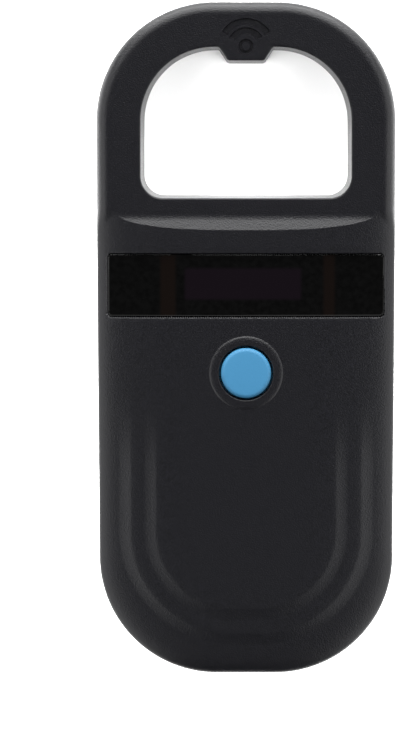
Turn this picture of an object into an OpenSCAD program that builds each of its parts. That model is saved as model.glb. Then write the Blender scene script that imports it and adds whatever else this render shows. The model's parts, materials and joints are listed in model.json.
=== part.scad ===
// Handheld microchip scanner for pets, lying on its back with the reading ring at +Y.
// Origin: centre of the back face. All sizes in millimetres.

/* [Body] */
// Overall length
body_l = 135; // [130:1:140]
// Overall width at the reading ring
body_w = 60; // [59:0.5:61]
// How much each side comes in towards the foot end
side_taper = 0.45; // [0:0.05:0.8]
// Radius of the four corners
corner_r = 23.7; // [22:0.1:24]
// Height of the parting line between the two covers
part_z = 8; // [7.5:0.1:8.2]
// Height of the crown of the body
crown_z = 19.2; // [19:0.1:20]
// Height that the crown rises above its side walls
crown_h = 7; // [6:0.1:7.4]
// Height of the flat face of the ring
ring_z = 17.25; // [17:0.05:17.6]
// Wall thickness of the covers
wall = 1.8; // [1.6:0.1:2]
// Radius of the edge of the ring face
ring_edge_r = 2.4; // [1.8:0.1:2.6]
// Radius of the edge of the back
back_edge_r = 3; // [2:0.1:3.5]

/* [Reading ring] */
// Half width of the ring's hole
hole_half_w = 21.05; // [20.5:0.05:21.2]
// Top end of the hole
hole_top_y = 58.4; // [58:0.1:58.6]
// Bottom end of the hole
hole_bottom_y = 28; // [28:0.1:29]
// Corner radius of the hole at its top
hole_top_r = 14.7; // [12:0.1:16]
// Corner radius of the hole at its bottom
hole_bottom_r = 4.4; // [3:0.1:6]
// Width of the coil winding
coil_w = 3.2; // [2.5:0.1:3.4]
// Height of the coil winding
coil_h = 5; // [3:0.1:6]

/* [Front] */
// Width of the display window
window_w = 55.3; // [50:0.1:55.3]
// Height of the display window
window_h = 12.6; // [11:0.1:13]
// Centre of the display window
window_y = 10.6; // [10:0.1:11]
// Diameter of the button
button_d = 10; // [8:0.1:11]
// Centre of the button
button_y = -6.9; // [-8:0.1:-6]
// Height of the raised collar round the button
collar_h = 0.7; // [0.4:0.05:0.75]
// How far the button travels
button_travel = 0.3; // [0.2:0.05:0.3]

/* [Hidden] */
$fn = 64;
eps = 0.01;

BLACK = "#26262a";
INK = "#101012";
GREEN = "#1f5b3c";
STEEL = "#c3c6ca";
GOLD = "#c9a24a";
COPPER = "#a9632c";
WHITE = "#ece9e0";
BLUE = "#4f96c4";

// The four corner centres of the outline: the sides come in a little towards the foot end.
ring_cx = body_w / 2 - corner_r;
foot_cx = ring_cx - side_taper;
corner_y = body_l / 2 - corner_r;
CORNERS = [[ring_cx, corner_y], [-ring_cx, corner_y], [-foot_cx, -corner_y], [foot_cx, -corner_y]];

// The slope between the ring face and the crowned body.
slope_deg = 35;
slope_top_y = 21.3;
slope_foot_y = 24.9;
cove = 1.6;
ring_end_y = 22;

// The two sunken steps round the foot end of the body.
step_fade_y = -8;
step_deep_y = -30;

// Stack of inner parts.
pcb_z = 8.4;
pcb_t = 1.2;
pcb_top = pcb_z + pcb_t;
pcb_half_w = 22;
pcb_bottom_y = -59.5;
pcb_top_y = 19;
boss_d = 5;
back_boss_d = 6.2;
boss_top_z = 15.2;
screw_d = 2.2;
screw_clear = 0.1;
PCB_SCREWS = [[19, 15.5], [-19, 15.5], [18, -44], [-18, -44]];
CASE_SCREWS = [[25, 22.6], [-25, 22.6], [13.5, -61.2], [-13.5, -61.2]];
case_head_d = 4.6;
case_head_h = 1.8;
case_head_z = 2.4;
case_tip_z = 14;
window_t = 1;
window_top_z = 18.85;
window_bend_r = 153;
tape_t = 0.15;
ledge_low_z = 14;
view_w = 36.9;
oled_size = [30, 11.2, 1.4];
oled_x = -1;
oled_z = 15.5;
label_size = [34, 22];
label_y = -18;
label_t = 0.15;
collar_r = 7.1;
collar_in_r = 5.45;
cap_top_z = 20;
flange_d = 12.4;
flange_top_z = crown_z - wall - 0.6;
flange_t = 0.9;
dome_gap = 0.02;
plunger_d = 3.4;
plunger_top_z = 14.6;
plunger_foot_z = 11.6;
usb_w = 8.94;
usb_h = 3.16;
usb_len = 7.4;
usb_z = pcb_top;
usb_mouth_y = -body_l / 2 + 0.9;
battery = [30, 42, 4.8];
battery_y = -20;
battery_z = 2.5;
coil_gap = 1.9;
coil_z = 6;
lip_t = 0.8;
lip_h = 1;
lip_gap = 0.1;

// A flat slice of the outline, drawn in from the edge by inset.
module slice(z, inset, t = eps) {
    for (c = CORNERS)
        translate([c[0], c[1], z])
            cylinder(r = corner_r - inset, h = t);
}

// The outline as an exact flat shape.
module outline_2d(inset) {
    for (c = CORNERS)
        translate(c) circle(r = corner_r - inset);
    dx = (corner_r - inset) * cos(atan(side_taper / (2 * corner_y)));
    dy = (corner_r - inset) * sin(atan(side_taper / (2 * corner_y)));
    polygon([
        [ring_cx + dx, corner_y - dy], [ring_cx, corner_y + corner_r - inset],
        [-ring_cx, corner_y + corner_r - inset], [-ring_cx - dx, corner_y - dy],
        [-foot_cx - dx, -corner_y - dy], [-foot_cx, -corner_y - corner_r + inset],
        [foot_cx, -corner_y - corner_r + inset], [foot_cx + dx, -corner_y - dy]
    ]);
}

// The hole of the ring as an exact flat shape, grown outwards by g.
module hole_2d(g) {
    top_x = hole_half_w - hole_top_r;
    top_y = hole_top_y - hole_top_r;
    low_x = hole_half_w - hole_bottom_r;
    low_y = hole_bottom_y + hole_bottom_r;
    for (s = [-1, 1]) {
        translate([s * top_x, top_y]) circle(r = hole_top_r + g);
        translate([s * low_x, low_y]) circle(r = hole_bottom_r + g);
    }
    translate([-hole_half_w - g, low_y]) square([2 * (hole_half_w + g), top_y - low_y]);
    translate([-low_x, hole_bottom_y - g]) square([2 * low_x, 20]);
    translate([-top_x, top_y - 10]) square([2 * top_x, hole_top_r + g + 10]);
}

// The pointer tab at the top of the hole.
module tab_2d() {
    tab_h = 2.7;
    polygon([
        [-5.4, hole_top_y + 0.4], [-5, hole_top_y - 0.4], [-3.8, hole_top_y - tab_h],
        [3.8, hole_top_y - tab_h], [5, hole_top_y - 0.4], [5.4, hole_top_y + 0.4]
    ]);
}

// Height of the crown above the side wall at a distance d in from the outline.
function crown(d) = crown_h * pow(1 - pow(1 - min(d, 30) / 30, 3), 1 / 3);

// The crowned body as one smooth convex form, with its skin drawn in by skin.
module crowned_body(skin) {
    base_z = crown_z - crown_h;
    hull() {
        slice(part_z - (skin > 0 ? eps : 0), skin);
        for (a = [0 : 10 : 80]) {
            d = 30 * (1 - pow(cos(a), 2 / 3));
            slice(base_z + crown(d) - skin, d + skin);
        }
        slice(crown_z - skin - eps, 22);
    }
}

// The flat ring half with its rounded edge.
module ring_body() {
    hull() {
        slice(part_z, 0);
        for (a = [0 : 15 : 90])
            slice(ring_z - ring_edge_r * (1 - sin(a)) - eps, ring_edge_r * (1 - cos(a)));
    }
}

// The flat-backed half with a rounded lower edge.
module back_body() {
    intersection() {
        linear_extrude(part_z) outline_2d(0);
        hull() {
            for (a = [0 : 15 : 75])
                slice(back_edge_r * (1 - cos(a)), back_edge_r * (1 - sin(a)));
            slice(back_edge_r, -0.5);
            slice(part_z + 1, -1);
        }
    }
}

// Everything above the coved slope and the ring face, seen from the side.
module above_slope() {
    cove_h = cove * tan(slope_deg) / 2;
    rise = tan(slope_deg);
    far = 90;
    profile = concat(
        [[far, ring_z]],
        [for (i = [0 : 5]) [slope_foot_y - cove * i / 5, ring_z + cove_h * pow(i / 5, 2)]],
        [
            [slope_top_y - 1.5, ring_z + cove_h + rise * (slope_foot_y - cove - slope_top_y + 1.5)],
            [slope_top_y - 1.5, 40], [far, 40]
        ]
    );
    prism_x(profile);
}

// A long bar along X with the outline given as [y, z] points.
module prism_x(points) {
    rotate([90, 0, 90])
        translate([0, 0, -50])
            linear_extrude(100) polygon(points);
}

// Material cut away outside one U-shaped step: the floor sinks gently towards the foot end.
module step_cut(top_half_w, top_end_y, run, floor_z) {
    difference() {
        prism_x([
            [step_fade_y, 25], [step_fade_y, crown_z + 0.3], [step_deep_y, floor_z],
            [-80, floor_z], [-80, 25]
        ]);
        hull() {
            step_slab(top_half_w, top_end_y, 25);
            step_slab(top_half_w + run, top_end_y - run, floor_z);
        }
    }
}

// A thin U-ended slab.
module step_slab(half_w, end_y, z) {
    r = half_w - 2.4;
    for (s = [-1, 1])
        translate([s * 2.4, end_y + r, z]) cylinder(r = r, h = eps);
    translate([-half_w, 0, z]) cube([2 * half_w, 20, eps]);
}

// Repeats a shape at each of the places.
module at(places) {
    for (p = places) translate([p[0], p[1], 0]) children();
}

// Engraved mark of radio waves above the hole: a dot and two arcs.
module wave_mark() {
    mark_y = 58.5;
    depth = 0.3;
    translate([0, mark_y, ring_z - depth]) {
        difference() {
            cylinder(r = 1.45, h = 1);
            translate([0, 0, -eps]) cylinder(r = 0.84, h = depth - 0.1);
        }
        for (r = [2.5, 4.35])
            rotate([0, 0, 31])
                rotate_extrude(angle = 118)
                    translate([r, 0]) square([1.25, 1]);
    }
}

module front_cover() {
    color(BLACK)
    difference() {
        union() {
            difference() {
                crowned_body(0);
                above_slope();
                step_cut(22.6, -59.2, 2, 17.25);
                step_cut(17.75, -53.4, 2.4, 17.98);
            }
            difference() {
                ring_body();
                prism_x([
                    [slope_foot_y, ring_z + 5], [slope_foot_y, ring_z],
                    [ring_end_y - 20, ring_z - 5.7], [ring_end_y - 20, part_z - 1],
                    [-90, part_z - 1], [-90, ring_z + 5]
                ]);
            }
            collar();
        }
        front_cavity();
        ring_channel(part_z - 1, ring_z - wall, boss_d);
        translate([0, 0, part_z - 1]) linear_extrude(20) difference() {
            hole_2d(0);
            tab_2d();
        }
        wave_mark();
        window_recess();
        translate([0, button_y, 0]) cylinder(r = collar_in_r, h = 40);
        usb_opening();
        at(CASE_SCREWS) cylinder(d = screw_d, h = case_tip_z + 0.3);
    }
    color(BLACK)
    difference() {
        at(CASE_SCREWS) translate([0, 0, part_z]) cylinder(d = boss_d, h = boss_top_z - part_z);
        at(CASE_SCREWS) cylinder(d = screw_d, h = case_tip_z + 0.3);
    }
}

module collar() {
    translate([0, button_y, crown_z - 1]) {
        cylinder(r = collar_r, h = 1 + 0.1);
        rotate_extrude() {
            translate([0, 0.5]) square([collar_r - 1.2, 0.5 + collar_h]);
            translate([collar_r - 1.2, 1 + collar_h - 1.2]) circle(r = 1.2);
        }
    }
}

// Hollow of the body under the crown, closed towards the ring by a cross wall.
module front_cavity() {
    difference() {
        crowned_body(wall);
        translate([-40, slope_top_y - 0.5, 0]) cube([80, 80, 40]);
        window_ledge();
    }
}

// A solid ledge under the display window that carries the glass.
module window_ledge() {
    translate([-40, window_y - window_h / 2 - 1.6, ledge_low_z])
        cube([80, window_h + 3.2, 20]);
}

// The large cylinder, along Y, that the window is bent to, drawn in by skin.
module window_bend(skin) {
    translate([0, 40, window_top_z - window_bend_r]) rotate([90, 0, 0])
        cylinder(r = window_bend_r - skin, h = 80, $fn = 360);
}

// Channel for the coil inside the ring.
module ring_channel(z0, z1, boss) {
    translate([0, 0, z0])
        linear_extrude(z1 - z0)
            difference() {
                intersection() {
                    outline_2d(wall + 0.4);
                    translate([-50, slope_top_y - 1]) square([100, 100]);
                }
                hole_2d(wall - 0.2);
                at(CASE_SCREWS) circle(d = boss);
            }
}

module window_recess() {
    difference() {
        translate([0, window_y, ledge_low_z]) rounded_plate(window_w, window_h, 0.8, 20);
        window_bend(window_t + tape_t);
    }
    translate([0, window_y, ledge_low_z - 5]) rounded_plate(view_w, window_h - 1, 0.8, 20);
}

module rounded_plate(w, h, r, t) {
    linear_extrude(t) {
        square([w, h - 2 * r], center = true);
        square([w - 2 * r, h], center = true);
        for (sx = [-1, 1], sy = [-1, 1])
            translate([sx * (w / 2 - r), sy * (h / 2 - r)]) circle(r = r);
    }
}

module usb_opening() {
    r = 1.2;
    half = usb_w / 2 + 0.5;
    top = usb_z + usb_h + 0.4;
    translate([0, -body_l / 2 + 8, 0]) rotate([90, 0, 0])
        linear_extrude(12) {
            translate([-half, 0]) square([2 * half, top - r]);
            translate([-half + r, 0]) square([2 * half - 2 * r, top]);
            for (s = [-1, 1]) translate([s * (half - r), top - r]) circle(r = r);
        }
}

module back_cover() {
    color(BLACK)
    difference() {
        union() {
            back_body();
            back_lip();
        }
        difference() {
            translate([0, 0, wall + 0.2]) linear_extrude(20) intersection() {
                outline_2d(wall + 0.6);
                translate([-50, -80]) square([100, 80 + slope_top_y - 0.5]);
            }
            at(CASE_SCREWS) cylinder(d = back_boss_d, h = part_z);
            at(PCB_SCREWS) cylinder(d = boss_d, h = pcb_z);
        }
        ring_channel(wall + 0.2, 30, back_boss_d);
        translate([0, 0, -1]) linear_extrude(20) difference() {
            hole_2d(0);
            tab_2d();
        }
        at(CASE_SCREWS) translate([0, 0, -1]) cylinder(d = screw_d + 2 * screw_clear, h = 20);
        at(CASE_SCREWS) translate([0, 0, -1])
            cylinder(d = case_head_d + 0.4, h = 1 + case_head_z + case_head_h);
        at(PCB_SCREWS) translate([0, 0, 3.6]) cylinder(d = screw_d - 0.4, h = 20);
        at([[0, -50]]) for (i = [-2 : 2]) translate([i * 2.4, 0, -1]) cylinder(d = 1.3, h = 6);
        label_recess();
    }
}

// Tongue round the rim of the back cover that locates the front cover.
module back_lip() {
    translate([0, 0, part_z - 1])
        linear_extrude(1 + lip_h)
            difference() {
                intersection() {
                    outline_2d(wall + lip_gap);
                    translate([-50, -80]) square([100, 80 + slope_top_y - 4]);
                }
                outline_2d(wall + lip_gap + lip_t);
                translate([-17, -80]) square([34, 25]);
            }
}

// Shallow pocket in the back for the label.
module label_recess() {
    translate([0, label_y, -1]) rounded_plate(label_size[0] + 0.4, label_size[1] + 0.4, 1.7, 1.2);
}

module back_label() {
    color(WHITE)
        translate([0, label_y, 0.2 - label_t])
            rounded_plate(label_size[0], label_size[1], 1.5, label_t);
}

module display_window() {
    color(INK)
        bent_plate(window_w - 0.2, window_h - 0.2, 0, window_t);
}

// A rounded plate cut from the bend, from one skin depth to another.
module bent_plate(w, h, from, to) {
    difference() {
        intersection() {
            translate([0, window_y, ledge_low_z]) rounded_plate(w, h, 0.7, 20);
            window_bend(from);
        }
        window_bend(to);
    }
}

module window_tape() {
    color("#3a3a3c")
        difference() {
            bent_plate(window_w - 0.6, window_h - 0.6, window_t, window_t + tape_t);
            translate([0, window_y, 0]) rounded_plate(view_w + 0.6, window_h - 1, 0.5, 40);
        }
}

module oled_glass() {
    color("#15171c")
        translate([oled_x - oled_size[0] / 2, window_y - oled_size[1] / 2, oled_z])
            cube(oled_size);
}

module oled_holder() {
    h = oled_z - pcb_top;
    color(WHITE)
        translate([oled_x, window_y, pcb_top])
            difference() {
                rounded_plate(oled_size[0] - 0.4, oled_size[1] - 0.2, 0.6, h);
                translate([0, 0, -1]) rounded_plate(oled_size[0] - 4, oled_size[1] - 3, 0.6, h);
            }
}

// Ribbon from the display's end, folded down to the board.
module oled_flex() {
    x0 = oled_x + oled_size[0] / 2;
    t = 0.15;
    w = 6;
    color(GOLD)
        translate([0, window_y + w / 2, 0]) rotate([90, 0, 0])
            linear_extrude(w) {
                translate([x0, oled_z + 0.3]) square([1, t]);
                translate([x0 + 1, (oled_z + 0.3 + t + pcb_top) / 2])
                    difference() {
                        circle(r = (oled_z + 0.3 + t - pcb_top) / 2);
                        circle(r = (oled_z + 0.3 + t - pcb_top) / 2 - t);
                        translate([-10, -10]) square([10, 20]);
                    }
                translate([x0 - 0.1, pcb_top]) square([1.1, t]);
            }
}

module main_pcb() {
    color(GREEN)
        translate([0, 0, pcb_z])
            difference() {
                linear_extrude(pcb_t)
                    difference() {
                        intersection() {
                            outline_2d(wall + 1.6);
                            translate([-pcb_half_w, pcb_bottom_y])
                                square([2 * pcb_half_w, pcb_top_y - pcb_bottom_y]);
                        }
                        for (p = CASE_SCREWS) translate(p) circle(d = boss_d + 2);
                    }
                at(PCB_SCREWS) translate([0, 0, -1]) cylinder(d = screw_d + 0.2, h = 5);
            }
}

// A chip package with a row of legs along two sides.
module chip(size, legs) {
    color(INK) translate([-size[0] / 2, -size[1] / 2, 0.1]) cube([size[0], size[1], size[2] - 0.1]);
    color(STEEL)
        for (i = [0 : legs - 1], s = [-1, 1])
            translate([(i - (legs - 1) / 2) * size[0] / legs, s * (size[1] / 2 + 0.4), 0.25])
                cube([0.4, 1, 0.5], center = true);
}

module microcontroller() { translate([-9, -18, pcb_top]) chip([7, 7, 1.4], 8); }

module reader_chip() { translate([10, -18.5, pcb_top]) chip([9.9, 3.9, 1.5], 8); }

module charger_chip() { translate([9, -50, pcb_top]) chip([4.9, 3.9, 1.5], 4); }

// A grid of small chip parts.
module chips(origin, n, step, size) {
    for (i = [0 : n[0] - 1], j = [0 : n[1] - 1])
        translate([origin[0] + i * step[0], origin[1] + j * step[1], pcb_top]) cube(size);
}

module smd_capacitors() {
    color("#b59a72") {
        chips([-18, -12], [2, 3], [3, 2.4], [1.6, 0.8, 0.8]);
        chips([4, -26], [4, 2], [3, 2.4], [1.6, 0.8, 0.8]);
        chips([-12, -52], [2, 3], [3, 2.2], [2, 1.2, 0.9]);
    }
}

module smd_resistors() {
    color("#1c1c20") {
        chips([-16, -26], [5, 2], [3, 2.4], [1.6, 0.8, 0.5]);
        chips([14, -12], [2, 3], [3, 2.4], [1.6, 0.8, 0.5]);
    }
}

module tuning_capacitors() {
    color("#c26b2e")
        for (i = [0 : 2])
            translate([7.5 + i * 4.4, -3.2, pcb_top]) cube([3.2, 2.5, 1.6]);
}

module crystal() {
    color(STEEL) translate([-18.6, -19.2, pcb_top]) cube([3.2, 2.5, 0.9]);
}

module buzzer() {
    color(INK)
        translate([0, -36, pcb_top])
            difference() {
                cylinder(d = 12, h = 5.4);
                translate([0, 0, 4.4]) cylinder(d = 2, h = 2);
            }
}

module switch_base() {
    color(INK)
        translate([0, button_y, pcb_top])
            difference() {
                translate([-3, -3, 0]) cube([6, 6, 3.1]);
                translate([0, 0, 0.9]) cylinder(d = 4.6, h = 4);
            }
}

module switch_frame() {
    color(STEEL)
        translate([0, button_y, pcb_top + 3.1])
            difference() {
                translate([-3, -3, 0]) cube([6, 6, 0.3]);
                translate([0, 0, -1]) cylinder(d = 3.6, h = 3);
            }
}

// Snap dome at its pressed height, just clear of the plunger at full travel.
module switch_dome() {
    h = plunger_foot_z - button_travel - dome_gap - pcb_top - 0.9;
    r = (2.1 * 2.1 + h * h) / (2 * h);
    color(STEEL)
        translate([0, button_y, pcb_top + 0.9])
            intersection() {
                translate([0, 0, h - r]) difference() {
                    sphere(r = r);
                    sphere(r = r - 0.12);
                }
                cylinder(r = 2.1, h = h);
            }
}

module switch_plunger() {
    color(WHITE)
        translate([0, button_y, 0]) {
            translate([0, 0, plunger_foot_z]) cylinder(d = plunger_d, h = plunger_top_z - plunger_foot_z);
            translate([0, 0, plunger_foot_z]) cylinder(d = 4.3, h = 0.8);
        }
}

module button_cap() {
    edge_r = 0.8;
    side_top_z = cap_top_z - edge_r;
    foot_z = flange_top_z - flange_t;
    color(BLUE)
        translate([0, button_y, 0]) {
            rotate_extrude() {
                translate([0, foot_z]) square([button_d / 2, side_top_z - foot_z]);
                translate([0, side_top_z - eps]) square([button_d / 2 - edge_r, edge_r + eps]);
                translate([button_d / 2 - edge_r, side_top_z]) circle(r = edge_r);
            }
            translate([0, 0, foot_z]) cylinder(d = flange_d, h = flange_t);
            translate([0, 0, plunger_top_z]) cylinder(d = 4, h = flange_top_z - plunger_top_z);
        }
}

module usb_shell() {
    r = 1.3;
    t = 0.3;
    color(STEEL)
        translate([0, usb_mouth_y + usb_len, usb_z + usb_h / 2]) rotate([90, 0, 0])
            difference() {
                rounded_plate(usb_w, usb_h, r, usb_len);
                translate([0, 0, 0.4]) rounded_plate(usb_w - 2 * t, usb_h - 2 * t, r - t, usb_len);
            }
}

module usb_tongue() {
    color(INK)
        translate([-3.3, usb_mouth_y + 0.9, usb_z + usb_h / 2 - 0.35]) cube([6.6, usb_len - 1.3, 0.7]);
}

module battery_cell() {
    color("#8f949b")
        translate([0, battery_y, battery_z])
            rounded_plate(battery[0], battery[1], 1.4, battery[2]);
    color(GOLD)
        translate([-7, battery_y - battery[1] / 2 - 3, battery_z + 1.6]) cube([14, 3.5, 1.6]);
}

module battery_pad() {
    color("#55585c")
        translate([0, battery_y, wall + 0.2])
            rounded_plate(battery[0] - 4, battery[1] - 6, 1, battery_z - wall - 0.2);
}

// One insulated wire made of straight runs joined by balls.
module wire(points, d) {
    for (i = [0 : len(points) - 2]) {
        v = points[i + 1] - points[i];
        translate(points[i])
            rotate([0, acos(v[2] / norm(v)), atan2(v[1], v[0])])
                cylinder(d = d, h = norm(v));
        if (i > 0) translate(points[i]) sphere(d = d);
    }
}

module battery_leads() {
    y0 = battery_y - battery[1] / 2 - 3.15;
    y1 = -54.25;
    color("#c0392b") wire([[-4, y0, 5.8], [-6, y1, 6.4]], 1);
    color(INK) wire([[-1, y0, 5.8], [-4.4, y1, 6.4]], 1);
}

module battery_plug() {
    color(WHITE) translate([-8, -57, 5.5]) cube([5.6, 2.6, 2.1]);
}

module battery_header() {
    color(WHITE) translate([-8.4, -57.4, 7.6]) cube([6.4, 3.4, pcb_z - 7.6]);
}

module antenna_coil() {
    color(COPPER)
        translate([0, 0, coil_z])
            linear_extrude(coil_h)
                difference() {
                    hole_2d(coil_gap + coil_w);
                    hole_2d(coil_gap);
                }
}

// Bands that hold the winding together.
module coil_ties() {
    t = 0.25;
    gap = 0.03;
    side_x = hole_half_w + coil_gap + coil_w / 2;
    low_y = hole_bottom_y - coil_gap - coil_w / 2;
    color(WHITE)
        for (p = [[-9, low_y, 90], [9, low_y, 90], [side_x, 38, 0], [-side_x, 38, 0]])
            translate([p[0], p[1], coil_z - t - gap]) rotate([0, 0, p[2]])
                difference() {
                    translate([-coil_w / 2 - t - gap, -1.5, 0])
                        cube([coil_w + 2 * (t + gap), 3, coil_h + 2 * (t + gap)]);
                    translate([-coil_w / 2 - gap, -5, t])
                        cube([coil_w + 2 * gap, 10, coil_h + 2 * gap]);
                }
}

module antenna_leads() {
    y0 = hole_bottom_y - coil_gap - coil_w - 0.5;
    color(COPPER)
        for (s = [-1, 1])
            wire([[s * 1.2 - 13.9, y0, 10.4], [s * 1.2 - 13.9, 18.5, 10.4]], 0.8);
}

module antenna_header() {
    color(WHITE) translate([-16.9, 16.4, pcb_top]) cube([6, 2, 2.2]);
}

// A pan-head screw pointing up, head at the bottom.
module screw(head_d, head_h, shank_d, l) {
    color(STEEL) {
        difference() {
            cylinder(d = head_d, h = head_h);
            for (a = [0, 90]) rotate([0, 0, a])
                cube([head_d * 0.6, 0.5, 1.8], center = true);
        }
        translate([0, 0, head_h - eps]) cylinder(d = shank_d, h = l);
    }
}

module case_screws() {
    at(CASE_SCREWS)
        translate([0, 0, case_head_z])
            screw(case_head_d, case_head_h, screw_d - 0.1, case_tip_z - case_head_z - case_head_h);
}

module pcb_screws() {
    at(PCB_SCREWS)
        translate([0, 0, pcb_top + 1.2])
            rotate([180, 0, 0]) screw(3.6, 1.2, screw_d - 0.5, 5.4);
}

front_cover();
back_cover();
display_window();
window_tape();
oled_glass();
oled_holder();
oled_flex();
main_pcb();
microcontroller();
reader_chip();
charger_chip();
smd_capacitors();
smd_resistors();
tuning_capacitors();
crystal();
buzzer();
switch_base();
switch_dome();
switch_plunger();
switch_frame();
usb_shell();
usb_tongue();
battery_cell();
battery_pad();
battery_leads();
battery_plug();
battery_header();
antenna_coil();
coil_ties();
antenna_leads();
antenna_header();
case_screws();
pcb_screws();
back_label();
button_cap();
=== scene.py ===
"""Looks for a handheld pet microchip scanner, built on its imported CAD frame. Sizes are in millimetres."""

import json
import math

import bpy
import numpy as np
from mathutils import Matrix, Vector, kdtree
from mathutils.geometry import delaunay_2d_cdt


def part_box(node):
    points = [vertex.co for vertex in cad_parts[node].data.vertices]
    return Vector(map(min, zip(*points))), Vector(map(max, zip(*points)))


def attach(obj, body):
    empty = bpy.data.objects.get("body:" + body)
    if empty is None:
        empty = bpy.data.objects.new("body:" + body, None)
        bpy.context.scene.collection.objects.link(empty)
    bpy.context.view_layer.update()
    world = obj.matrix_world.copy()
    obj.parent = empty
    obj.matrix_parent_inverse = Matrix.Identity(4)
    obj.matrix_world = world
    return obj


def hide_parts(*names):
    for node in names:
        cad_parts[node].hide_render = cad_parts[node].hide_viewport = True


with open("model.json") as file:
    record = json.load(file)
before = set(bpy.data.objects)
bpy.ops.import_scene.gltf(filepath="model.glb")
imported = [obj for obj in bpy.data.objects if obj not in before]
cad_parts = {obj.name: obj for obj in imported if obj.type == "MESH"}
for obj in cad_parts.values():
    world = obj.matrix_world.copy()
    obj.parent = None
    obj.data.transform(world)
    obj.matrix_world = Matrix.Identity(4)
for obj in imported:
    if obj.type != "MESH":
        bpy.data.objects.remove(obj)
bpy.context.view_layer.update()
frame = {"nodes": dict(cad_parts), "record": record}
MM = 0.001


def box_mm(node):
    """Lowest and highest corner of a CAD node, in millimetres."""
    low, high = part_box(node)
    return np.array(low) / MM, np.array(high) / MM


# ---- Sizes taken from the frame ----
front_high = box_mm("front_cover")[1]
window_low, window_high = box_mm("display_window")
cap_low, cap_high = box_mm("button_cap")
usb_high = box_mm("usb_shell")[1]
label_low, label_high = box_mm("back_label")

# The window and button sit this much nearer the ring than the CAD ones do.
FRONT_SHIFT = 0.4
LENGTH = 2 * front_high[1]
WIDTH = 2 * front_high[0]
BUTTON_Y = (cap_low[1] + cap_high[1]) / 2 + FRONT_SHIFT
BUTTON_R = 5.0
CAP_TOP = cap_high[2]
WINDOW_Y = (window_low[1] + window_high[1]) / 2 + FRONT_SHIFT
WINDOW_W = window_high[0] - window_low[0]
WINDOW_H = window_high[1] - window_low[1]
WINDOW_TOP = window_high[2]
USB_TOP = usb_high[2] + 0.4
USB_HALF = usb_high[0] + 0.5

# ---- Sizes of the covers ----
PART_Z = 8.0
CORNER_R = 23.7
SIDE_TAPER = 0.45
RING_CX = WIDTH / 2 - CORNER_R
FOOT_CX = RING_CX - SIDE_TAPER
CORNER_Y = LENGTH / 2 - CORNER_R
RING_Z = 18.3
RING_EDGE = 2.4
RING_SIDE_H = 3.0
RING_END_H = 1.9
CROWN_Z = 19.2
CROWN_H = 3.1
CROWN_RUN = 30.0
WALL = 1.8
BACK_EDGE = 3.0
SEAM = 0.16
PLATE_GAP = 0.6
PLATE_RIM = 0.4
PLATE_Z = CROWN_Z - WALL - PLATE_GAP
UNDER_WINDOW_Z = 14.0
NOTCH_R = 1.2
BOSS_R = 3.1
LIP = 0.4
SCREW_BORE = 2.5
SCREW_SEAT_Z = 4.2
SOUND_R = 0.65
SOUND_DEPTH = 1.6
BACK_HOLE_EDGE = 0.5
FLOOR_Z = 2.0
LABEL_EDGE = 0.2
LABEL_R = 1.7

HOLE_W = 21.05
HOLE_TOP = 58.5
HOLE_LOW = 28.4
HOLE_TOP_R = 14.7
HOLE_LOW_R = 4.4
HOLE_EDGE = 0.3
HOLE_DRAFT = 0.3
TAB_TIP = 55.8
TAB_ROOT_X = 5.55
TAB_ROOT_R = 0.4
TAB_TIP_X = 3.35
TAB_TIP_R = 0.5

SLOPE = math.radians(19.4)
SLOPE_FOOT = 25.3
COVE = 1.4

WINDOW_BEND = 340.0
WINDOW_GAP = 0.1
WINDOW_EDGE = 0.22
WINDOW_DEPTH = 1.15
WINDOW_T = 1.0
WINDOW_R = 0.7
SEAT_R = 0.8
COLLAR_IN = 5.45
COLLAR_OUT = 7.3
COLLAR_TOP = 19.42
ICON_Y = 58.6
ICON_DEPTH = 0.45
ICON_DOT = (0.84, 1.45)
ICON_ARCS = (2.5, 4.35)
ICON_LINE = 1.25
ICON_HALF_TURN = 59
# What shows faintly through the window: centre and half size in mm, and tint.
BEHIND_WINDOW = [
    ((-0.6, WINDOW_Y + 0.3), (11.6, 3.1), (0.0008, 0.0005, 0.0008)),
    ((-15.6, WINDOW_Y), (1.5, 7.0), (0.0008, 0.0005, 0.0004)),
    ((16.6, WINDOW_Y), (1.1, 7.0), (0.0008, 0.0005, 0.0004)),
]


# ---- Small maths helpers ----
def smooth(low, high, value):
    t = np.clip((value - low) / (high - low), 0, 1)
    return t * t * (3 - 2 * t)


def arc(cx, cy, r, start, end, step):
    """Points on an arc from start to end, in degrees, about step apart."""
    count = max(2, int(abs(math.radians(end - start)) * r / step) + 1)
    angles = np.radians(np.linspace(start, end, count))
    return np.stack([cx + r * np.cos(angles), cy + r * np.sin(angles)], 1)


def spaced(points, step):
    """A closed loop resampled evenly at about the given step."""
    closed = np.vstack([points, points[:1]])
    runs = np.hypot(*np.diff(closed, axis=0).T)
    keep = np.concatenate([[True], runs > 1e-6])
    closed = closed[keep]
    runs = np.hypot(*np.diff(closed, axis=0).T)
    along = np.concatenate([[0], np.cumsum(runs)])
    count = max(8, int(round(along[-1] / step)))
    at = np.linspace(0, along[-1], count, endpoint=False)
    return np.stack([np.interp(at, along, closed[:, 0]), np.interp(at, along, closed[:, 1])], 1)


def normals_of(loop):
    """Unit vectors to the left of a closed loop's direction."""
    ahead = np.roll(loop, -1, 0) - np.roll(loop, 1, 0)
    ahead /= np.maximum(np.hypot(*ahead.T), 1e-9)[:, None]
    return np.stack([-ahead[:, 1], ahead[:, 0]], 1)


def shifted(loop, distance):
    """A loop moved to its left by distance."""
    return loop + normals_of(loop) * distance


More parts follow.
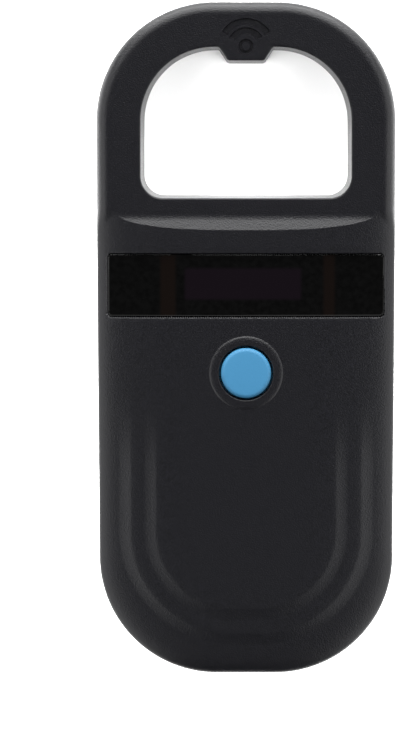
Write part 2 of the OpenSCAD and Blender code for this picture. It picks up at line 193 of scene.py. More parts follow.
def inside(points, loop):
    """Which points lie inside a closed loop."""
    a, b = loop, np.roll(loop, -1, 0)
    result = np.zeros(len(points), bool)
    for k in range(0, len(points), 4000):
        px, py = points[k : k + 4000, 0:1], points[k : k + 4000, 1:2]
        crosses = (a[:, 1] > py) != (b[:, 1] > py)
        climb = np.where(b[:, 1] == a[:, 1], 1e-9, b[:, 1] - a[:, 1])
        x_at = a[:, 0] + (py - a[:, 1]) * (b[:, 0] - a[:, 0]) / climb
        result[k : k + 4000] = (np.sum(crosses & (px < x_at), axis=1) % 2) == 1
    return result


def distance_to(points, loop):
    """Distance from each point to a closed loop."""
    a = loop
    ab = np.roll(loop, -1, 0) - a
    length2 = np.maximum((ab**2).sum(1), 1e-12)
    result = np.empty(len(points))
    for k in range(0, len(points), 2000):
        p = points[k : k + 2000]
        ap = p[:, None, :] - a[None]
        t = np.clip((ap * ab[None]).sum(2) / length2, 0, 1)
        gap = ap - t[:, :, None] * ab[None]
        result[k : k + 2000] = np.sqrt((gap**2).sum(2).min(1))
    return result


# ---- Outlines ----
CORNERS = np.array([[RING_CX, CORNER_Y], [-RING_CX, CORNER_Y], [-FOOT_CX, -CORNER_Y], [FOOT_CX, -CORNER_Y]])


def edge_distance(points):
    """Distance inwards from the scanner's outline."""
    a, b = CORNERS, np.roll(CORNERS, -1, 0)
    ab = b - a
    out = np.stack([ab[:, 1], -ab[:, 0]], 1) / np.hypot(*ab.T)[:, None]
    side = ((points[:, None, :] - a[None]) * out[None]).sum(2).max(1)
    gap = distance_to(points, CORNERS)
    return CORNER_R - np.where(side > 0, gap, side)


def outline(inset, step=0.7):
    """The outline drawn in by inset, running anticlockwise."""
    r = CORNER_R - inset
    tilt = math.degrees(math.atan(SIDE_TAPER / (2 * CORNER_Y)))
    loop = [
        arc(RING_CX, CORNER_Y, r, -tilt, 90, 0.3),
        arc(-RING_CX, CORNER_Y, r, 90, 180 + tilt, 0.3),
        arc(-FOOT_CX, -CORNER_Y, r, 180 + tilt, 270, 0.3),
        arc(FOOT_CX, -CORNER_Y, r, 270, 360 - tilt, 0.3),
    ]
    return spaced(np.vstack(loop), step)


def hole_loop(grow=0.0, step=0.45):
    """The ring's hole with its pointer tab, running clockwise so that the cover is on its left."""
    top_x, low_x = HOLE_W - HOLE_TOP_R, HOLE_W - HOLE_LOW_R
    loop = [
        arc(-low_x, HOLE_LOW + HOLE_LOW_R, HOLE_LOW_R, 270, 180, 0.2),
        arc(-top_x, HOLE_TOP - HOLE_TOP_R, HOLE_TOP_R, 180, 90, 0.3),
        arc(-TAB_ROOT_X, HOLE_TOP - TAB_ROOT_R, TAB_ROOT_R, 90, 20, 0.1),
        arc(-TAB_TIP_X, TAB_TIP + TAB_TIP_R, TAB_TIP_R, 200, 270, 0.1),
        arc(TAB_TIP_X, TAB_TIP + TAB_TIP_R, TAB_TIP_R, 270, 340, 0.1),
        arc(TAB_ROOT_X, HOLE_TOP - TAB_ROOT_R, TAB_ROOT_R, 160, 90, 0.1),
        arc(top_x, HOLE_TOP - HOLE_TOP_R, HOLE_TOP_R, 90, 0, 0.3),
        arc(low_x, HOLE_LOW + HOLE_LOW_R, HOLE_LOW_R, 0, -90, 0.2),
    ]
    loop = spaced(np.vstack(loop), step)
    return shifted(loop, grow) if grow else loop


def circle(cx, cy, r, count, clockwise=False):
    angles = np.linspace(0, 2 * math.pi, count, endpoint=False)
    if clockwise:
        angles = -angles
    return np.stack([cx + r * np.cos(angles), cy + r * np.sin(angles)], 1)


def rounded_box(cx, cy, w, h, r, step):
    """A rounded rectangle, running anticlockwise."""
    loop = [
        arc(cx + sx * (w / 2 - r), cy + sy * (h / 2 - r), r, a, a + 90, 0.1)
        for sx, sy, a in ((1, 1, 0), (-1, 1, 90), (-1, -1, 180), (1, -1, 270))
    ]
    return spaced(np.vstack(loop), step)


def box_distance(points, cx, cy, w, h, r):
    """Signed distance to a rounded rectangle, below zero inside it."""
    q = np.abs(points - [cx, cy]) - [w / 2 - r, h / 2 - r]
    return np.minimum(q.max(1), 0) + np.hypot(*np.maximum(q, 0).T) - r


# ---- Height of the front cover ----
STEPS = [
    dict(half_w=23.1, end_y=-59.2, width=2.4, depth=0.42),
    dict(half_w=18.0, end_y=-54.0, width=2.4, depth=0.42),
]
STEP_FLAT = 2.4
STEP_FADE = (-9.0, -29.0)
STEP_ROUND = 0.15


def step_distance(points, step):
    """Distance outwards from a step's upper edge, a long U closed at the foot end."""
    r = step["half_w"] - STEP_FLAT
    centre_y = step["end_y"] + r
    x = np.maximum(np.abs(points[:, 0]) - STEP_FLAT, 0)
    below = np.minimum(points[:, 1] - centre_y, 0)
    return np.hypot(x, below) - r


def crown(d):
    return CROWN_Z - CROWN_H + CROWN_H * np.cbrt(1 - (1 - np.clip(d, 0, CROWN_RUN) / CROWN_RUN) ** 3)


def slope(y):
    """Height of the coved slope that climbs from the ring's face to the body."""
    run = SLOPE_FOOT - y
    cove = math.tan(SLOPE) / (2 * COVE)
    rise = np.where(run < COVE, cove * np.maximum(run, 0) ** 2, math.tan(SLOPE) * (run - COVE / 2))
    return RING_Z + rise


def ring_face(points, d):
    """The flat face with its rounded edge, which is deeper along the sides than round the end."""
    inner = np.clip(1 - d / RING_EDGE, 0, 1)
    turn = smooth(CORNER_Y, LENGTH / 2, points[:, 1])
    height = RING_SIDE_H + (RING_END_H - RING_SIDE_H) * turn
    return RING_Z - height * (1 - np.sqrt(1 - inner**2))


def body_top(points, d):
    """The crowned body with its two sunken steps."""
    z = crown(d)
    share = smooth(-STEP_FADE[0], -STEP_FADE[1], -points[:, 1])
    for step in STEPS:
        s = step_distance(points, step) / step["width"]
        s = np.clip((s + np.sqrt(s**2 + STEP_ROUND**2)) / 2, 0, 1)
        z = z - step["depth"] * share * s * (3 - s) / 2
    return z


def collar(points, z):
    r = np.hypot(points[:, 0], points[:, 1] - BUTTON_Y)
    lift = (COLLAR_TOP - CROWN_Z) * np.sqrt(np.clip(1 - (np.clip(r - 6.0, 0, None) / 1.3) ** 2, 0, 1))
    lip = 0.2 - np.sqrt(np.maximum(0.04 - (0.2 - np.clip(r - COLLAR_IN, 0, 0.2)) ** 2, 0))
    return np.where(r < COLLAR_OUT, np.maximum(z, CROWN_Z + lift - lip), z)


def icon_depth(points):
    """How deep the engraved radio-wave mark is: a ringed dot and two arcs."""
    x, y = points[:, 0], points[:, 1] - ICON_Y
    r = np.hypot(x, y)
    away = np.abs(np.degrees(np.arctan2(x, y)))
    cut = (r > ICON_DOT[0]) & (r < ICON_DOT[1])
    for low in ICON_ARCS:
        cut |= (r > low) & (r < low + ICON_LINE) & (away < ICON_HALF_TURN)
    return np.where(cut, ICON_DEPTH, 0.0)


HOLE = hole_loop()


def hole_distance(points, loop=HOLE):
    """Distance to the ring's hole for points near it, and a large number for the rest."""
    far = np.full(len(points), 9.0)
    near = (np.abs(points[:, 0]) < HOLE_W + 3) & (points[:, 1] > HOLE_LOW - 3)
    far[near] = distance_to(points[near], loop)
    return far


def window_height(x, depth):
    """Height of the window's curve at x, or of the curve depth below it."""
    return WINDOW_TOP - WINDOW_BEND + np.sqrt((WINDOW_BEND - depth) ** 2 - x**2)


def front_top(points):
    """Height of the front cover's outer face."""
    d = edge_distance(points)
    y = points[:, 1]
    body = body_top(points, d)
    climb = slope(y)
    z = np.minimum(body, climb)
    start = SLOPE_FOOT - 0.6 - 3.4 * np.clip(1 - d / 3.2, 0, 1)
    share = smooth(start, SLOPE_FOOT + 1.3, y)
    z = z + (ring_face(points, d) - z) * share
    z = collar(points, z)
    inner = np.clip(HOLE_EDGE - hole_distance(points), 0, HOLE_EDGE)
    z = z - (HOLE_EDGE - np.sqrt(HOLE_EDGE**2 - inner**2))
    z = z - icon_depth(points)
    w = box_distance(points, 0, WINDOW_Y, WINDOW_W + 2 * WINDOW_GAP, WINDOW_H + 2 * WINDOW_GAP, SEAT_R)
    seat = window_height(points[:, 0], WINDOW_DEPTH)
    return np.where(w < 0, seat, np.minimum(z, z - WINDOW_EDGE + np.clip(w, 0, WINDOW_EDGE)))


def notch(points):
    """Height of the roof of the charging socket's notch, or the parting line away from it."""
    x = np.abs(points[:, 0])
    turn = np.clip(x - USB_HALF + NOTCH_R, 0, NOTCH_R)
    roof = USB_TOP - NOTCH_R + np.sqrt(np.maximum(NOTCH_R**2 - turn**2, 0))
    here = (x < USB_HALF) & (points[:, 1] < -LENGTH / 2 + 8)
    return np.where(here, roof, PART_Z)


def front_under(points):
    """Height of the front cover's inner face: a rim, a plate round the button's bore, and a hollow."""
    y = points[:, 1]
    d = edge_distance(points)
    r = np.hypot(points[:, 0], y - BUTTON_Y)
    hollow = np.minimum(crown(np.maximum(d - WALL, 0)), slope(y)) - WALL - PLATE_GAP
    hollow = np.where(np.abs(y - WINDOW_Y) < WINDOW_H / 2 + 1.6, UNDER_WINDOW_Z, hollow)
    rim = (d < WALL) | (hole_distance(points) < WALL)
    return np.where(r < COLLAR_IN + PLATE_RIM, PLATE_Z, np.where(rim, notch(points), hollow))


# ---- Height of the back cover ----
def screw_places():
    """Centres of the case screws, read from the frame."""
    co = np.array([v.co for v in frame["nodes"]["case_screws"].data.vertices]) / MM
    places = []
    for sx in (-1, 1):
        for sy in (-1, 1):
            part = co[(co[:, 0] * sx > 0) & (co[:, 1] * sy > 0)]
            places.append((part[:, :2].min(0) + part[:, :2].max(0)) / 2)
    return places


def label_recess(grow=0.0):
    """Arguments of the rounded box that holds the label: middle, width, height."""
    size = label_high - label_low + 2 * LABEL_EDGE + 2 * grow
    return 0, (label_low[1] + label_high[1]) / 2, size[0], size[1], LABEL_R


SCREWS = screw_places()
SOUND_HOLES = [(2.4 * i, -50.0) for i in range(-2, 3)]


def back_under(points):
    """Height of the back's outer face, which rests on the table."""
    d = edge_distance(points)
    inner = np.clip(BACK_EDGE - d, 0, BACK_EDGE)
    z = BACK_EDGE - np.sqrt(BACK_EDGE**2 - inner**2)
    h = hole_distance(points, shifted(HOLE, -HOLE_DRAFT))
    inner = np.clip(BACK_HOLE_EDGE - h, 0, BACK_HOLE_EDGE)
    z = np.maximum(z, BACK_HOLE_EDGE - np.sqrt(BACK_HOLE_EDGE**2 - inner**2))
    for place in SCREWS:
        r = np.hypot(*(points - place).T)
        bevel = np.clip(SCREW_BORE + 0.25 - r, 0, 0.25)
        z = np.where(r < SCREW_BORE, SCREW_SEAT_Z, z + bevel * (r >= SCREW_BORE))
    for place in SOUND_HOLES:
        r = np.hypot(*(points - place).T)
        z = np.where(r < SOUND_R, SOUND_DEPTH, z)
    return np.where(box_distance(points, *label_recess()) < 0, LABEL_EDGE, z)


def back_top(points):
    """Height of the back cover's inner face: a rim, and a floor inside it."""
    solid = (edge_distance(points) < WALL + LIP) | (hole_distance(points) < WALL)
    for place in SCREWS:
        solid |= np.hypot(*(points - place).T) < BOSS_R
    return np.where(solid, PART_Z, FLOOR_Z)


# ---- Meshes made from height functions ----
def thin_out(fixed, loose, gap):
    """The loose points that keep clear of every fixed point."""
    tree = kdtree.KDTree(len(fixed))
    for i, p in enumerate(fixed):
        tree.insert((p[0], p[1], 0), i)
    tree.balance()
    keep = [tree.find((p[0], p[1], 0))[2] > gap for p in loose]
    return loose[np.array(keep)]


def grid(x0, x1, y0, y1, step):
    xs = np.arange(x0, x1 + step / 2, step)
    ys = np.arange(y0, y1 + step / 2, step)
    gx, gy = np.meshgrid(xs, ys)
    gx = gx + (np.arange(len(ys)) % 2)[:, None] * step / 2
    return np.stack([gx.ravel(), gy.ravel()], 1)


def plan_mesh(loops, features, fills):
    """Triangles between the boundary loops, through all the feature points."""
    edges = []
    start = 0
    for loop in loops:
        edges += [(start + i, start + (i + 1) % len(loop)) for i in range(len(loop))]
        start += len(loop)
    points = np.vstack(loops)
    outer = loops[0]

    def within(p):
        ok = inside(p, outer)
        for hole in loops[1:]:
            ok &= ~inside(p, hole)
        return ok

    for p, gap in features + fills:
        p = p[within(p)]
        points = np.vstack([points, thin_out(points, p, gap)])
    result = delaunay_2d_cdt([Vector(p) for p in points], edges, [], 0, 1e-5)
    out = np.array([(v.x, v.y) for v in result[0]])
    faces = np.array(result[2])
    centres = out[faces].mean(1)
    faces = faces[within(centres)]
    place = np.full(len(points), -1)
    for new, olds in enumerate(result[3]):
        for old in olds:
            place[old] = new
    return out, faces, place[: sum(len(loop) for loop in loops)]


def relief(name, loops, low_loops, rows, top, low, tops, lows):
    """A closed solid between two height functions.

    loops bound it from above and low_loops from below. rows gives the share of the height and the
    shift of each ring of its walls. tops and lows hold the feature points and the filling ones.
    """
    top_xy, top_faces, top_edge = plan_mesh(loops, *tops)
    low_xy, low_faces, low_edge = plan_mesh(low_loops, *lows)
    co = [np.column_stack([top_xy, top(top_xy)]), np.column_stack([low_xy, low(low_xy)])]
    faces = [top_faces, low_faces[:, ::-1] + len(top_xy)]
    base = len(top_xy) + len(low_xy)
    upper = np.vstack(loops)
    lower = np.vstack(low_loops)
    normal = np.vstack([normals_of(loop) for loop in loops])
    z_top, z_low = top(upper), low(lower)
    rings = [top_edge]
    for share, shift in rows(upper, z_top, z_low):
        xy = upper + (lower - upper) * share[:, None] + normal * shift
        co.append(np.column_stack([xy, z_top + (z_low - z_top) * share]))
        rings.append(np.arange(base, base + len(xy)))
        base += len(xy)
    rings.append(low_edge + len(top_xy))
    start = 0
    for loop in loops:
        i = np.arange(len(loop))
        j = (i + 1) % len(loop)
        for a, b in zip(rings[:-1], rings[1:]):
            a, b = a[start : start + len(loop)], b[start : start + len(loop)]
            faces.append(np.stack([a[i], b[i], b[j]], 1))
            faces.append(np.stack([a[i], b[j], a[j]], 1))
        start += len(loop)
    return make_mesh(name, np.vstack(co), np.vstack(faces))


def make_mesh(name, co, faces, sharp=34):
    mesh = bpy.data.meshes.new(name)
    mesh.from_pydata((co * MM).tolist(), [], faces.tolist())
    mesh.validate()
    piece = bpy.data.objects.new(name, mesh)
    bpy.context.scene.collection.objects.link(piece)
    mesh.shade_smooth()
    mesh.set_sharp_from_angle(angle=math.radians(sharp))
    return piece


def edge_insets(radius, count=9):
    """Distances that follow a rounded edge evenly by angle."""
    return [radius * (1 - math.cos(math.radians(a))) for a in np.linspace(0, 90, count)[1:]]


def wall_rows(seam_at_low):
    """Rings of the side wall: a small bevel where the two covers meet."""

    def rows(upper, z_top, z_low):
        height = np.maximum(np.abs(z_top - z_low), 1e-6)
        bevel = SEAM / height
        zero = np.zeros(len(upper))
        outer = edge_distance(upper) < 0.01
        pull = np.where(outer, SEAM, 0.0)[:, None]
        if seam_at_low:
            return [(zero + 0.25, 0), (zero + 0.5, 0), (1 - bevel, 0), (1 - bevel * 0.02, pull)]
        return [(bevel * 0.02, pull), (bevel, 0), (zero + 0.5, 0), (zero + 0.75, 0)]

    return rows


def crest_points():
    """Points along the crest where the slope meets the crown."""
    xs = np.arange(-29.5, 29.51, 0.35)
    low, high = np.full(len(xs), 15.0), np.full(len(xs), SLOPE_FOOT)
    for _ in range(40):
        mid = (low + high) / 2
        p = np.column_stack([xs, mid])
        above = slope(mid) > crown(edge_distance(p))
        low, high = np.where(above, mid, low), np.where(above, high, mid)
    return np.column_stack([xs, (low + high) / 2])


def step_band(step):
    """Loops that follow one step, from just inside its upper edge to past its foot."""
    band = []
    r0 = step["half_w"] - STEP_FLAT
    centre_y = step["end_y"] + r0
    for u in (-0.25, -0.02, 0.06, 0.25, 0.5, 0.8, 1.2, 1.6, 2.0, 2.4, 2.6, 3.0):
        r = r0 + u
        side = np.arange(STEP_FADE[0] + 2, centre_y, -0.5)
        left = np.column_stack([np.full(len(side), -STEP_FLAT - r), side])
        right = np.column_stack([np.full(len(side), STEP_FLAT + r), side])
        curve = [arc(s * STEP_FLAT, centre_y, r, 225 + s * 45, 315 + s * 45, 0.5) for s in (-1, 1)]
        flat = np.column_stack([np.arange(-2.0, 2.1, 0.5), np.full(9, centre_y - r)])
        band += [left, right, flat] + curve
    return np.vstack(band)


def icon_edges():
    loops = []
    ends = (90 - ICON_HALF_TURN, 90 + ICON_HALF_TURN)
    for r in ICON_DOT:
        loops += [circle(0, ICON_Y, r + e, 48) for e in (-0.03, 0.03)]
    for low in ICON_ARCS:
        for r in (low, low + ICON_LINE):
            loops += [arc(0, ICON_Y, r + e, *ends, 0.15) for e in (-0.03, 0.03)]
        for a in ends:
            for e in (-0.03, 0.03):
                turn = math.radians(a)
                along = np.linspace(low + 0.1, low + ICON_LINE - 0.1, 7)
                x, y = along * math.cos(turn), along * math.sin(turn)
                loops.append(np.column_stack([x - e * math.sin(turn), ICON_Y + y + e * math.cos(turn)]))
    return np.vstack(loops)


def front_features():
    """Point sets of the front face, the sharpest details first."""
    w, h = WINDOW_W + 2 * WINDOW_GAP, WINDOW_H + 2 * WINDOW_GAP
    window = [
        rounded_box(0, WINDOW_Y, w + 2 * e, h + 2 * e, SEAT_R + e, 0.45)
        for e in (-0.02, 0.02, 0.12, 0.24, 0.45)
    ]
    collar_rings = [circle(0, BUTTON_Y, COLLAR_IN + e, 96) for e in (0.04, 0.1, 0.2, 0.4, 0.6, 0.8)]
    collar_rings += [circle(0, BUTTON_Y, r, 96) for r in np.arange(6.45, 7.7, 0.13)]
    crest = crest_points()
    hole_rings = [hole_loop(e) for e in (0.03, 0.08, 0.15, 0.24, 0.32, 0.6)]
    rim = [0.004, 0.02, 0.06, 0.12] + edge_insets(RING_EDGE)[1:] + [2.8, 3.3, 3.9, 4.6, 5.4, 6.2]
    rims = [outline(e) for e in rim]
    across = np.arange(-29.8, 29.9, 0.4)
    lines = [np.column_stack([across, np.full(len(across), y)]) for y in np.arange(20.6, 26.6, 0.17)]
    return [
        (np.vstack(window), 0.015),
        (icon_edges(), 0.02),
        (np.vstack(collar_rings), 0.03),
        (np.vstack(hole_rings), 0.02),
        (crest, 0.05),
        (np.vstack([crest + [0, 0.08], crest - [0, 0.08]]), 0.05),
        (np.vstack(rims), 0.1),
        (step_band(STEPS[0]), 0.12),
        (step_band(STEPS[1]), 0.12),
        (np.vstack(lines), 0.12),
    ]


def front_cover():
    bore = circle(0, BUTTON_Y, COLLAR_IN, 96, clockwise=True)
    loops = [outline(0), HOLE, bore]
    low_loops = [outline(0), hole_loop(-HOLE_DRAFT / 2), bore]
    fills = [
        (grid(-14, 14, 54, 67, 0.3), 0.2),
        (grid(-30, 30, -67.5, -8, 0.6), 0.4),
        (grid(-30, 30, -67.5, 67.5, 0.8), 0.55),
    ]
    along = np.arange(-67.3, -62, 0.3)
    notch_edges = [
        np.column_stack([np.full(len(along), s * (USB_HALF + e)), along])
        for e in (-0.02, 0.02)
        for s in (-1, 1)
    ]
    lows = [
        (np.vstack(notch_edges), 0.02),
        (np.vstack([outline(WALL + e) for e in (-0.02, 0.02)]), 0.03),
        (np.vstack([hole_loop(WALL + e) for e in (-0.02, 0.02)]), 0.03),
        (np.vstack([circle(0, BUTTON_Y, COLLAR_IN + PLATE_RIM + e, 96) for e in (-0.02, 0.02)]), 0.03),
    ]
    low_fills = [(grid(-30, 30, -67.5, 67.5, 1.6), 0.9)]
    return relief(
        "front_shell", loops, low_loops, wall_rows(True),
        front_top, front_under, (front_features(), fills), (lows, low_fills),
    )


def back_cover():
    loops = [outline(0), hole_loop(-HOLE_DRAFT / 2)]
    low_loops = [outline(0), hole_loop(-HOLE_DRAFT)]
    tops = [
        (np.vstack([outline(WALL + LIP + e) for e in (-0.02, 0.02)]), 0.03),
        (np.vstack([hole_loop(WALL + e) for e in (-0.02, 0.02)]), 0.03),
    ]
    rounds = []
    for x, y in SCREWS:
        rounds += [circle(x, y, SCREW_BORE + e, 64) for e in (-0.02, 0.02, 0.12, 0.25, 0.5)]
    for x, y in SOUND_HOLES:
        rounds += [circle(x, y, SOUND_R + e, 24) for e in (-0.02, 0.02, 0.15)]
    lows = [
        (np.vstack([rounded_box(*label_recess(e), 0.5) for e in (-0.02, 0.02)]), 0.02),
        (np.vstack(rounds), 0.02),
        (np.vstack([shifted(hole_loop(-HOLE_DRAFT), e) for e in (0.03, 0.1, 0.2, 0.35, 0.5)]), 0.03),
        (np.vstack([outline(e) for e in edge_insets(BACK_EDGE) + [3.6]]), 0.05),
    ]
    fills = [(grid(-30, 30, -67.5, 67.5, 1.6), 0.9)]
    return relief(
        "back_shell", loops, low_loops, wall_rows(False),
        back_top, back_under, (tops, fills), (lows, fills),
    )


def display_window():
    """The bent window, with a fine rounded edge."""
    w, h = WINDOW_W, WINDOW_H
    edge = 0.12

    def top(p):
        gap = np.clip(-box_distance(p, 0, WINDOW_Y, w, h, WINDOW_R), 0, edge)
        return window_height(p[:, 0], 0) - edge + np.sqrt(edge**2 - (edge - gap) ** 2)

    def low(p):
        return window_height(p[:, 0], WINDOW_T)

    loop = rounded_box(0, WINDOW_Y, w, h, WINDOW_R, 0.45)
    rings = [
        rounded_box(0, WINDOW_Y, w - 2 * e, h - 2 * e, WINDOW_R - e, 0.45)
        for e in (0.02, 0.05, 0.08, 0.12, 0.15, 0.35)
    ]
    tops = ([(np.vstack(rings), 0.01)], [(grid(-28, 28, 4, 17, 0.8), 0.5)])
    lows = ([], [(grid(-28, 28, 4, 17, 1.6), 0.9)])

    def rows(upper, z_top, z_low):
        return [(np.full(len(upper), 0.5), 0)]

    return relief("smoked_window", [loop], [loop], rows, top, low, tops, lows)


def button_profile():
    """Half of the button's section as (radius, height), from the stem's foot to the top's middle."""
    edge, dish = 0.8, 0.06
    stem_r, flange_t = 2.0, 0.9
    flange_r = (cap_high[0] - cap_low[0]) / 2
    flange_low = PLATE_Z - flange_t
    profile = [(0, cap_low[2]), (stem_r, cap_low[2]), (stem_r, flange_low), (flange_r, flange_low)]
    profile += [(flange_r, PLATE_Z), (BUTTON_R, PLATE_Z), (BUTTON_R, CAP_TOP - edge - 0.3)]
    for turn in np.radians(np.linspace(0, 90, 12)):
        r = BUTTON_R - edge + edge * math.cos(turn)
        profile.append((r, CAP_TOP - dish - edge + edge * math.sin(turn)))
    for r in (3.6, 3.0, 2.4, 1.8, 1.2, 0.6):
        profile.append((r, CAP_TOP - dish * (r / (BUTTON_R - edge)) ** 2))
    profile.append((0, CAP_TOP))
    return profile


def button_cap():
    """The button turned as one closed round solid."""
    profile = button_profile()
    count = 96
    co = [(0, BUTTON_Y, profile[0][1]), (0, BUTTON_Y, profile[-1][1])]
    rings = []
    for r, z in profile[1:-1]:
        rings.append(np.arange(len(co), len(co) + count))
        co += [(x, y, z) for x, y in circle(0, BUTTON_Y, r, count)]
    i = np.arange(count)
    j = (i + 1) % count
    faces = [np.stack([np.zeros(count, int), rings[0][j], rings[0][i]], 1)]
    for a, b in zip(rings[:-1], rings[1:]):
        faces.append(np.stack([a[i], a[j], b[j]], 1))
        faces.append(np.stack([a[i], b[j], b[i]], 1))
    faces.append(np.stack([np.ones(count, int), rings[-1][i], rings[-1][j]], 1))
    return make_mesh("blue_button", np.array(co), np.vstack(faces), 40)


# ---- Materials ----
def principled(name, colour, rough, **extra):
    """A plain principled material, returned with its node tree and shader node."""
    mat = bpy.data.materials.new(name)
    mat.use_nodes = True
    tree = mat.node_tree
    shader = tree.nodes["Principled BSDF"]
    shader.inputs["Base Color"].default_value = (*colour, 1)
    shader.inputs["Roughness"].default_value = rough
    for key, value in extra.items():
        shader.inputs[key].default_value = value
    return mat, tree, shader


def local_noise(tree, scale):
    """Noise in object space, so that the grain stays on the piece."""
    where = tree.nodes.new("ShaderNodeTexCoord")
    noise = tree.nodes.new("ShaderNodeTexNoise")
    noise.inputs["Scale"].default_value = scale
    noise.inputs["Detail"].default_value = 2.0
    tree.links.new(where.outputs["Object"], noise.inputs["Vector"])
    return noise


def ramp(tree, source, low, high):
    """A colour ramp between two colours, over the middle of the source's range."""
    node = tree.nodes.new("ShaderNodeValToRGB")
    for element, position, colour in zip(node.color_ramp.elements, (0.35, 0.65), (low, high)):
        element.position = position
        element.color = (*colour, 1)
    tree.links.new(source, node.inputs["Fac"])
    return node


def bump(tree, shader, source, strength, distance):
    node = tree.nodes.new("ShaderNodeBump")
    node.inputs["Strength"].default_value = strength
    node.inputs["Distance"].default_value = distance
    tree.links.new(source, node.inputs["Height"])
    tree.links.new(node.outputs["Normal"], shader.inputs["Normal"])


def grained(name, dark, light, rough, scale, strength, depth=0.00004, **extra):
    """Moulded plastic with a fine spark-eroded grain."""
    mat, tree, shader = principled(name, dark, rough, **extra)
    noise = local_noise(tree, scale)
    colours = ramp(tree, noise.outputs["Fac"], dark, light)
    tree.links.new(colours.outputs["Color"], shader.inputs["Base Color"])
    bump(tree, shader, noise.outputs["Fac"], strength, depth)
    return mat


# Sockets of a Mix node that mixes colours.
MIX_FACTOR, MIX_A, MIX_B, MIX_RESULT = 0, 6, 7, 2
SOFT_EDGE = 0.5


def soft_box(tree, where, centre, half):
    """One inside a box of the plan view, in mm, and zero outside it, with soft edges."""
    apart = tree.nodes.new("ShaderNodeSeparateXYZ")
    tree.links.new(where, apart.inputs["Vector"])
    product = tree.nodes.new("ShaderNodeMath")
    product.operation = "MULTIPLY"
    for i, axis in enumerate("XY"):
        away = tree.nodes.new("ShaderNodeMath")
        away.operation = "SUBTRACT"
        away.inputs[1].default_value = centre[i] * MM
        tree.links.new(apart.outputs[axis], away.inputs[0])
        size = tree.nodes.new("ShaderNodeMath")
        size.operation = "ABSOLUTE"
        tree.links.new(away.outputs[0], size.inputs[0])
        share = tree.nodes.new("ShaderNodeMapRange")
        share.interpolation_type = "SMOOTHSTEP"
        share.inputs["From Min"].default_value = (half[i] - SOFT_EDGE) * MM
        share.inputs["From Max"].default_value = (half[i] + SOFT_EDGE) * MM
        share.inputs["To Min"].default_value = 1
        share.inputs["To Max"].default_value = 0
        tree.links.new(size.outputs[0], share.inputs["Value"])
        tree.links.new(share.outputs["Result"], product.inputs[i])
    return product.outputs[0]


def smoked(name):
    """Near-black acrylic, with what sits behind it showing faintly through."""
    mat, tree, shader = principled(name, (0.0005, 0.0005, 0.0006), 0.07, **{"Specular IOR Level": 0.16})
    noise = local_noise(tree, 900)
    tones = ramp(tree, noise.outputs["Fac"], (0.0002, 0.0002, 0.0002), (0.0004, 0.0004, 0.0004))
    colour = tones.outputs["Color"]
    where = tree.nodes.new("ShaderNodeTexCoord").outputs["Object"]
    for centre, half, tint in BEHIND_WINDOW:
        mix = tree.nodes.new("ShaderNodeMix")
        mix.data_type = "RGBA"
        mix.inputs[MIX_B].default_value = (*tint, 1)
        tree.links.new(soft_box(tree, where, centre, half), mix.inputs[MIX_FACTOR])
        tree.links.new(colour, mix.inputs[MIX_A])
        colour = mix.outputs[MIX_RESULT]
    tree.links.new(colour, shader.inputs["Base Color"])
    return mat


def simple(name, colour, rough, metallic=0.0, scale=1500):
    """A finish with a slight uneven tone, for the parts inside."""
    light = tuple(min(1.0, c * 1.15 + 0.004) for c in colour)
    return grained(name, colour, light, rough, scale, 0.15, 0.00002, Metallic=metallic)


def materials():
    return {
        "case_plastic": grained(
            "grained black plastic", (0.0002, 0.0002, 0.0004), (0.0012, 0.0012, 0.0017),
            0.32, 3600, 1.0, 0.00007, **{"Specular IOR Level": 0.082},
        ),
        "window_acrylic": smoked("smoked acrylic"),
        "button_blue": grained(
            "blue plastic", (0.0065, 0.0335, 0.062), (0.0075, 0.0355, 0.066),
            0.55, 3000, 0.2, **{"Specular IOR Level": 0.07},
        ),
        "tape": simple("tape", (0.02, 0.02, 0.02), 0.7),
        "display_glass": simple("display glass", (0.01, 0.01, 0.012), 0.1),
        "holder_plastic": simple("holder plastic", (0.75, 0.74, 0.7), 0.5),
        "flex_film": simple("flex film", (0.45, 0.22, 0.05), 0.35),
        "board": simple("board", (0.012, 0.09, 0.04), 0.4),
        "chip_black": simple("chip epoxy", (0.012, 0.012, 0.013), 0.5),
        "ceramic": simple("ceramic", (0.35, 0.24, 0.13), 0.4),
        "resistor_black": simple("resistor body", (0.01, 0.01, 0.01), 0.35),
        "film_orange": simple("film capacitor", (0.5, 0.14, 0.03), 0.4),
        "steel": simple("steel", (0.55, 0.55, 0.56), 0.28, 1.0),
        "buzzer_black": simple("buzzer case", (0.01, 0.01, 0.011), 0.5),
        "switch_black": simple("switch base", (0.012, 0.012, 0.012), 0.45),
        "plunger_white": simple("plunger", (0.7, 0.7, 0.68), 0.4),
        "connector_white": simple("connector", (0.72, 0.7, 0.62), 0.45),
        "cell_foil": simple("cell foil", (0.5, 0.51, 0.53), 0.35, 0.8),
        "foam": simple("foam", (0.06, 0.06, 0.065), 0.95),
        "wire_jacket": simple("wire jacket", (0.45, 0.03, 0.02), 0.4),
        "copper": simple("copper wire", (0.7, 0.25, 0.1), 0.3, 1.0),
        "tie_tape": simple("tie tape", (0.7, 0.68, 0.6), 0.6),
        "label_paper": simple("label paper", (0.7, 0.7, 0.69), 0.6),
    }


def dress(piece, material):
    piece.data.materials.clear()
    piece.data.materials.append(material)


def build():
    """Makes the finer pieces and gives every piece its finish."""
    finishes = materials()
    for piece, body, node in (
        (front_cover(), "housing", "front_cover"),
        (back_cover(), "housing", "back_cover"),
        (display_window(), "housing", "display_window"),
        (button_cap(), "button", "button_cap"),
    ):
        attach(piece, body)
        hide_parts(node)
        slot = slots[node]
        dress(piece, finishes[slot])
    for name, node in frame["nodes"].items():
        dress(node, finishes[slots[name]])


def node_slots():
    """Which material slot each CAD node uses, read from the record."""
    return {part["node"]: part["material_slot"] for part in frame["record"]["subparts"]}


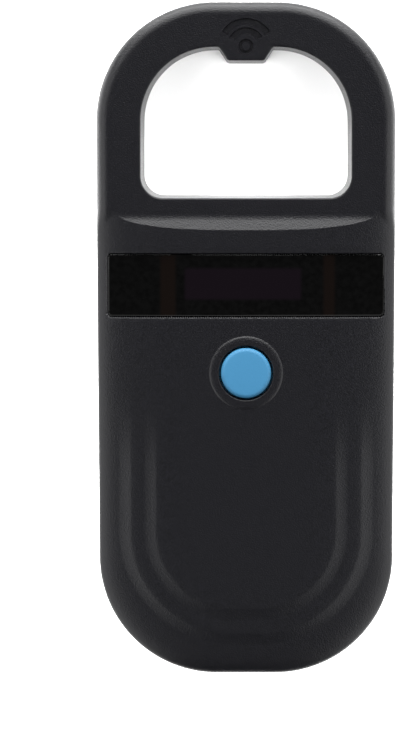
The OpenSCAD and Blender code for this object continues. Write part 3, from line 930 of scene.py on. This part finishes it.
# ---- Floor, light and camera, in metres ----
def floor():
    mesh = bpy.data.meshes.new("floor")
    half = 6.0
    corners = [(-half, -half, 0), (half, -half, 0), (half, half, 0), (-half, half, 0)]
    mesh.from_pydata(corners, [], [(0, 1, 2, 3)])
    piece = bpy.data.objects.new("floor", mesh)
    bpy.context.scene.collection.objects.link(piece)
    mat, _, _ = principled("white paper", (0.93, 0.93, 0.93), 0.9)
    mesh.materials.append(mat)


def panel(name, place, size, radiance):
    """A soft panel turned towards the object, as bright as radiance whatever its size."""
    data = bpy.data.lights.new(name, "AREA")
    data.shape = "RECTANGLE"
    data.size, data.size_y = size
    data.energy = radiance * math.pi * size[0] * size[1]
    piece = bpy.data.objects.new(name, data)
    piece.location = place
    aim = Vector((0, 0, place[2] * 0.6)) - Vector(place)
    piece.rotation_euler = aim.to_track_quat("-Z", "Y").to_euler()
    bpy.context.scene.collection.objects.link(piece)


def lights():
    panel("back light", (0, 1.0, 0.75), (1.8, 1.3), 27)
    panel("low back light", (0, 0.9, 0.16), (1.8, 0.3), 24)
    panel("left light", (-1.0, -0.25, 0.75), (2.2, 1.4), 8.5)
    panel("right light", (1.0, -0.25, 0.75), (2.2, 1.4), 8.5)
    panel("top light", (0, -0.3, 1.15), (0.8, 0.35), 2.0)
    world = bpy.data.worlds.new("studio")
    world.use_nodes = True
    world.node_tree.nodes["Background"].inputs["Color"].default_value = (1, 1, 1, 1)
    world.node_tree.nodes["Background"].inputs["Strength"].default_value = 0.12
    bpy.context.scene.world = world


def camera():
    distance = 0.68
    sideways = 0.043
    mid_z = 0.014
    lens_per_metre = 237.46
    data = bpy.data.cameras.new("camera")
    data.sensor_width = 36
    data.lens = lens_per_metre * distance
    data.shift_x = -0.0505
    data.shift_y = -0.0499
    data.clip_start = 0.01
    piece = bpy.data.objects.new("camera", data)
    tilt = math.asin(sideways / distance)
    place = Vector((0, distance * math.sin(tilt), mid_z + distance * math.cos(tilt)))
    piece.location = place
    piece.rotation_euler = (-tilt, 0, 0)
    bpy.context.scene.collection.objects.link(piece)
    bpy.context.scene.camera = piece


slots = node_slots()
build()
floor()
lights()
camera()
scene = bpy.context.scene
scene.view_settings.view_transform = "Standard"
scene.view_settings.look = "None"
